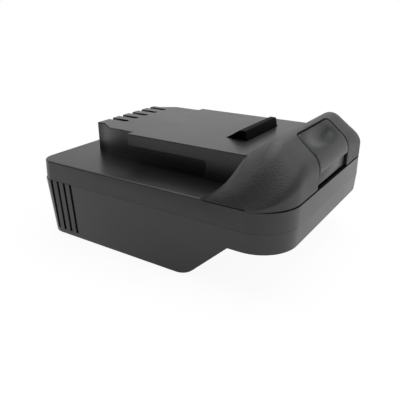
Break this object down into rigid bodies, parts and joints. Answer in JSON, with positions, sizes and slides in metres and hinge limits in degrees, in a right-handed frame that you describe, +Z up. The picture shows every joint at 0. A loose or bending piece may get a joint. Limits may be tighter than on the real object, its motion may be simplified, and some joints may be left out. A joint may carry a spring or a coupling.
{
  "type": "tool battery adapter",
  "caption": "Slide-on battery adapter for a cordless tool, with a railed top, slotted terminal tongue, sprung latch and thumb release in a humped nose, and a battery channel below.",
  "frame": {"origin": "under the middle of the part, at the bottom of its skirt", "axes": "+X to the nose with the thumb button, +Z up to the rail platform, +Y to the left seen from behind"},
  "size_m": [0.098, 0.0786, 0.045],
  "materials": {
    "housing": "satin moulded plastic",
    "nose": "spark-grained moulded plastic",
    "button": "satin moulded plastic",
    "latch": "satin moulded plastic",
    "tray": "plain moulded plastic",
    "contact": "stamped, bright",
    "spring": "drawn spring wire",
    "screw": "zinc plated",
    "board": "lacquered board",
    "chip": "ceramic chip",
    "wire_red": "wire cover",
    "wire_black": "wire cover",
    "wire_yellow": "wire cover",
    "wire_white": "wire cover"
  },
  "bodies": {
    "shell": {"upper_housing": "housing", "nose_cover": "nose", "lower_housing": "housing", "latch_spring_left": "spring", "latch_spring_right": "spring", "contact_carrier": "tray", "contact_positive": "contact", "contact_sense_1": "contact", "contact_sense_2": "contact", "contact_sense_3": "contact", "contact_negative": "contact", "terminal_board": "board", "id_resistor": "chip", "terminal_block": "tray", "blade_positive": "contact", "blade_sense_1": "contact", "blade_sense_2": "contact", "blade_negative": "contact", "wire_positive": "wire_red", "wire_sense_1": "wire_yellow", "wire_sense_2": "wire_white", "wire_negative": "wire_black", "housing_screws": "screw", "carrier_screws": "screw", "block_screws": "screw"},
    "latch_unit": {"release_button": "button", "latch": "latch"}
  },
  "joints": [
    {"name": "latch_press", "type": "slide", "parent": "shell", "child": "latch_unit", "axis": [0, 0, -1], "range_m": [0, 0.0035], "stiffness_N_per_m": 1500, "springref_m": -0.003, "deforming": ["latch_spring_left", "latch_spring_right"]}
  ]
}
